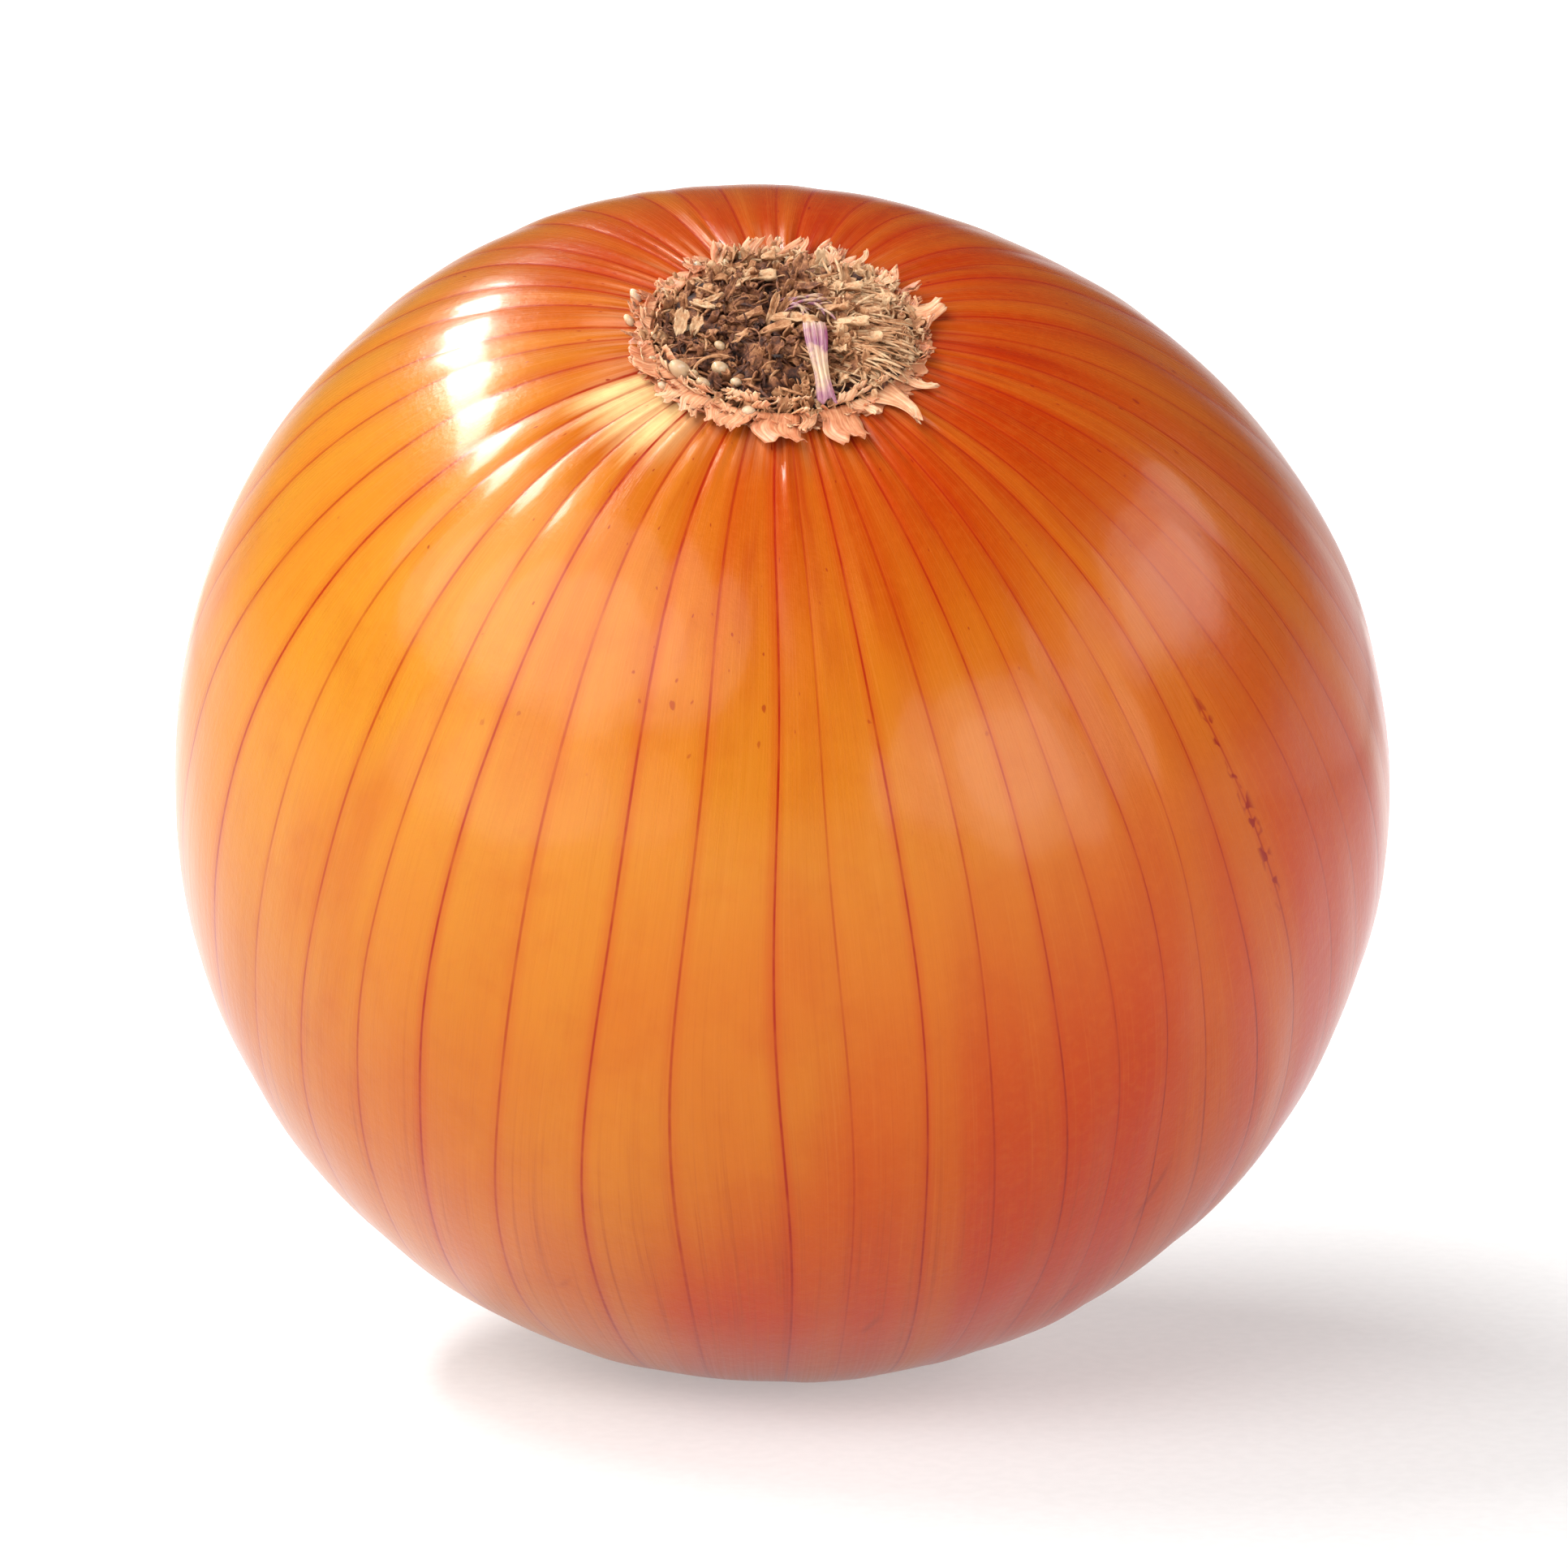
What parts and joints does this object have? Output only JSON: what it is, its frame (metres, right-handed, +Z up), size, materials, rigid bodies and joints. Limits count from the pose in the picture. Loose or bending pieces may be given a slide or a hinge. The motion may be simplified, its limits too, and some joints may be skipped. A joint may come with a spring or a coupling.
{
  "type": "onion",
  "caption": "Large round brown onion lying on its belly with the root end tipped forward: glossy veined skin, corky root plate, torn skin collar, short trimmed neck.",
  "frame": {"origin": "centre of the small flat spot that the bulb rests on", "axes": "+Z up; -Y towards the viewer, where the root end leans 31 degrees from upright; +X to the viewer's right"},
  "size_m": [0.0838, 0.0834, 0.0815],
  "materials": {
    "skin": "dry onion skin, orange brown with fine red veins, satin to glossy",
    "root_plate": "dry crumbly cork and trimmed root stubs, dark brown to tan, matte",
    "torn_skin": "torn papery skin and pale root tips, pinkish tan, matte",
    "neck": "dry papery leaf bases, straw brown, matte"
  },
  "bodies": {
    "root": {"bulb": "skin", "root_plate": "root_plate", "root_collar": "torn_skin", "neck": "neck"}
  },
  "joints": []
}
